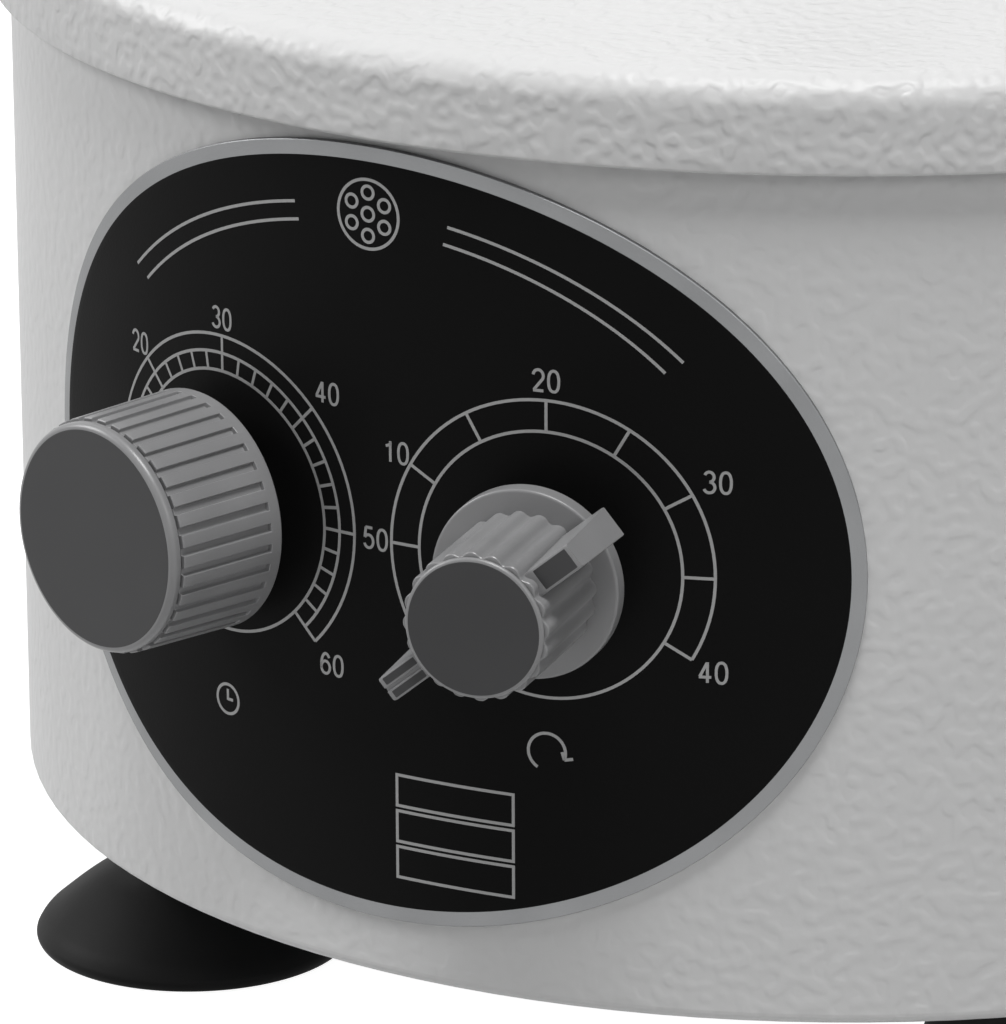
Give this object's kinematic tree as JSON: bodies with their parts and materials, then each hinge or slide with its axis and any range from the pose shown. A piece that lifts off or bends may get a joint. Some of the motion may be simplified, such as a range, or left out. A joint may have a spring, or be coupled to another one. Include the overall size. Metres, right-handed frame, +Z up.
{
  "type": "bench centrifuge",
  "caption": "Round bench centrifuge: sheet-steel drum on suction feet, hinged lid over an angle rotor, oval front panel with a timer knob and a speed knob.",
  "frame": {"origin": "on the bench top, under the drum's axis", "axes": "+Z up along the rotor's axis, -Y to the front panel's middle, +X to the right seen from the front"},
  "size_m": [0.2872, 0.3256, 0.215],
  "materials": {
    "enamel": "textured enamel",
    "plated_steel": "zinc plated",
    "foot_rubber": "satin",
    "stainless": "satin stainless",
    "seal_rubber": "matt",
    "motor_paint": "gloss black",
    "cast_alloy": "as cast",
    "rotor_alloy": "turned",
    "sleeve_metal": "drawn, anodised",
    "bright_steel": "ground",
    "hinge_steel": "satin plated",
    "ferrite": "sintered",
    "brush_holder": "stamped",
    "panel_black": "satin black, silvered lines",
    "timer_metal": "plated",
    "board_green": "laminate",
    "capacitor_sleeve": "shrink sleeve",
    "nylon": "moulded",
    "black_plastic": "moulded",
    "wire_red": "insulation",
    "copper": "wound and machined",
    "knob_grey": "moulded",
    "cap_grey": "moulded"
  },
  "bodies": {
    "casing": {"body_shell": "enamel", "base_plate": "plated_steel", "base_screws": "plated_steel", "suction_feet": "foot_rubber", "foot_bolts": "plated_steel", "bowl": "stainless", "bowl_screws": "plated_steel", "rim_gasket": "seal_rubber", "shaft_boot": "seal_rubber", "motor_can": "motor_paint", "motor_upper_bell": "cast_alloy", "motor_lower_bell": "cast_alloy", "motor_bearings": "bright_steel", "field_magnets": "ferrite", "brush_gear": "brush_holder", "motor_bolts": "plated_steel", "motor_bracket": "plated_steel", "shock_mounts": "seal_rubber", "bracket_bolts": "plated_steel", "hinge_body_leaf": "hinge_steel", "hinge_pin": "bright_steel", "hinge_screws": "plated_steel", "front_panel": "panel_black", "timer_case": "timer_metal", "potentiometer": "timer_metal", "panel_nuts": "bright_steel", "control_board": "board_green", "heatsink": "cast_alloy", "capacitor": "capacitor_sleeve", "board_standoffs": "nylon", "cord_gland": "black_plastic", "rocker_housing": "black_plastic", "fuse_holder": "black_plastic", "wiring": "wire_red"},
    "lid": {"lid_shell": "enamel", "lid_knob": "black_plastic", "lid_knob_screw": "plated_steel", "hinge_lid_leaf": "hinge_steel", "hinge_rivets": "plated_steel"},
    "rotor": {"motor_shaft": "bright_steel", "armature": "copper", "commutator": "copper", "motor_fan": "black_plastic", "rotor_head": "rotor_alloy", "rotor_nut": "bright_steel", "tube_sleeve_1": "sleeve_metal", "tube_sleeve_2": "sleeve_metal", "tube_sleeve_3": "sleeve_metal", "tube_sleeve_4": "sleeve_metal", "tube_sleeve_5": "sleeve_metal", "tube_sleeve_6": "sleeve_metal", "sleeve_cushions": "seal_rubber"},
    "timer_knob_set": {"timer_shaft": "bright_steel", "timer_knob": "knob_grey", "timer_knob_cap": "cap_grey"},
    "speed_knob_set": {"pot_shaft": "bright_steel", "speed_knob": "knob_grey", "speed_knob_cap": "cap_grey"},
    "rocker_key": {"rocker_button": "black_plastic"},
    "fuse_cap_set": {"fuse_cap": "black_plastic"}
  },
  "joints": [
    {"name": "lid_hinge", "type": "hinge", "parent": "casing", "child": "lid", "pos_m": [0, 0.1495, 0.1706], "axis": [-1, 0, 0], "range_deg": [0, 100]},
    {"name": "rotor_spin", "type": "hinge", "parent": "casing", "child": "rotor", "pos_m": [0, 0, 0.1], "axis": [0, 0, 1], "continuous": true},
    {"name": "timer_knob_turn", "type": "hinge", "parent": "casing", "child": "timer_knob_set", "pos_m": [-0.03055, -0.13663, 0.1047], "axis": [0.2182, 0.9759, 0], "range_deg": [0, 270]},
    {"name": "speed_knob_turn", "type": "hinge", "parent": "casing", "child": "speed_knob_set", "pos_m": [0.03055, -0.13663, 0.1047], "axis": [-0.2182, 0.9759, 0], "range_deg": [0, 250]},
    {"name": "rocker_switch", "type": "hinge", "parent": "casing", "child": "rocker_key", "pos_m": [-0.05244, 0.12981, 0.064], "axis": [0.9272, 0.3746, 0], "range_deg": [0, 18]},
    {"name": "fuse_cap_turn", "type": "hinge", "parent": "casing", "child": "fuse_cap_set", "pos_m": [0.04788, 0.13156, 0.062], "axis": [0.342, 0.9397, 0], "range_deg": [0, 90]}
  ]
}
